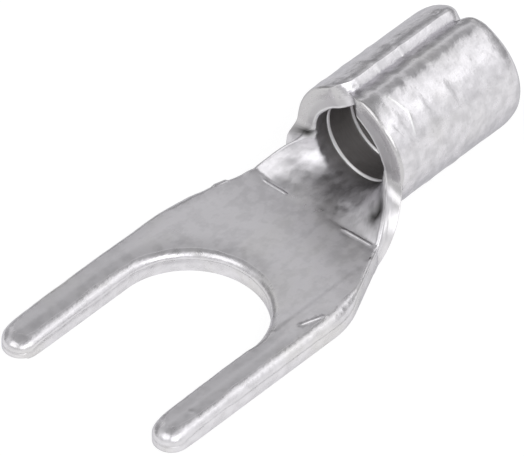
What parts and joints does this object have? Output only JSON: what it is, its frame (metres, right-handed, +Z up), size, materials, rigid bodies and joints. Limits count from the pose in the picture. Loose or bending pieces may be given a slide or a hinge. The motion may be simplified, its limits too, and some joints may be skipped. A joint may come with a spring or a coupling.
{
  "type": "fork terminal",
  "caption": "Bare fork terminal stamped from one tinned copper sheet, with a flat forked tongue for a stud and a rolled barrel that is crimped on a wire.",
  "frame": {"origin": "centre of the stud slot's round end, on the underside of the tongue", "axes": "+X along the wire from the tine tips to the barrel, +Z up out of the tongue's top face"},
  "size_m": [0.0225, 0.0094, 0.0056],
  "materials": {
    "tinned_copper": "satin tin plate on copper"
  },
  "bodies": {
    "root": {"fork_terminal": "tinned_copper"}
  },
  "joints": []
}
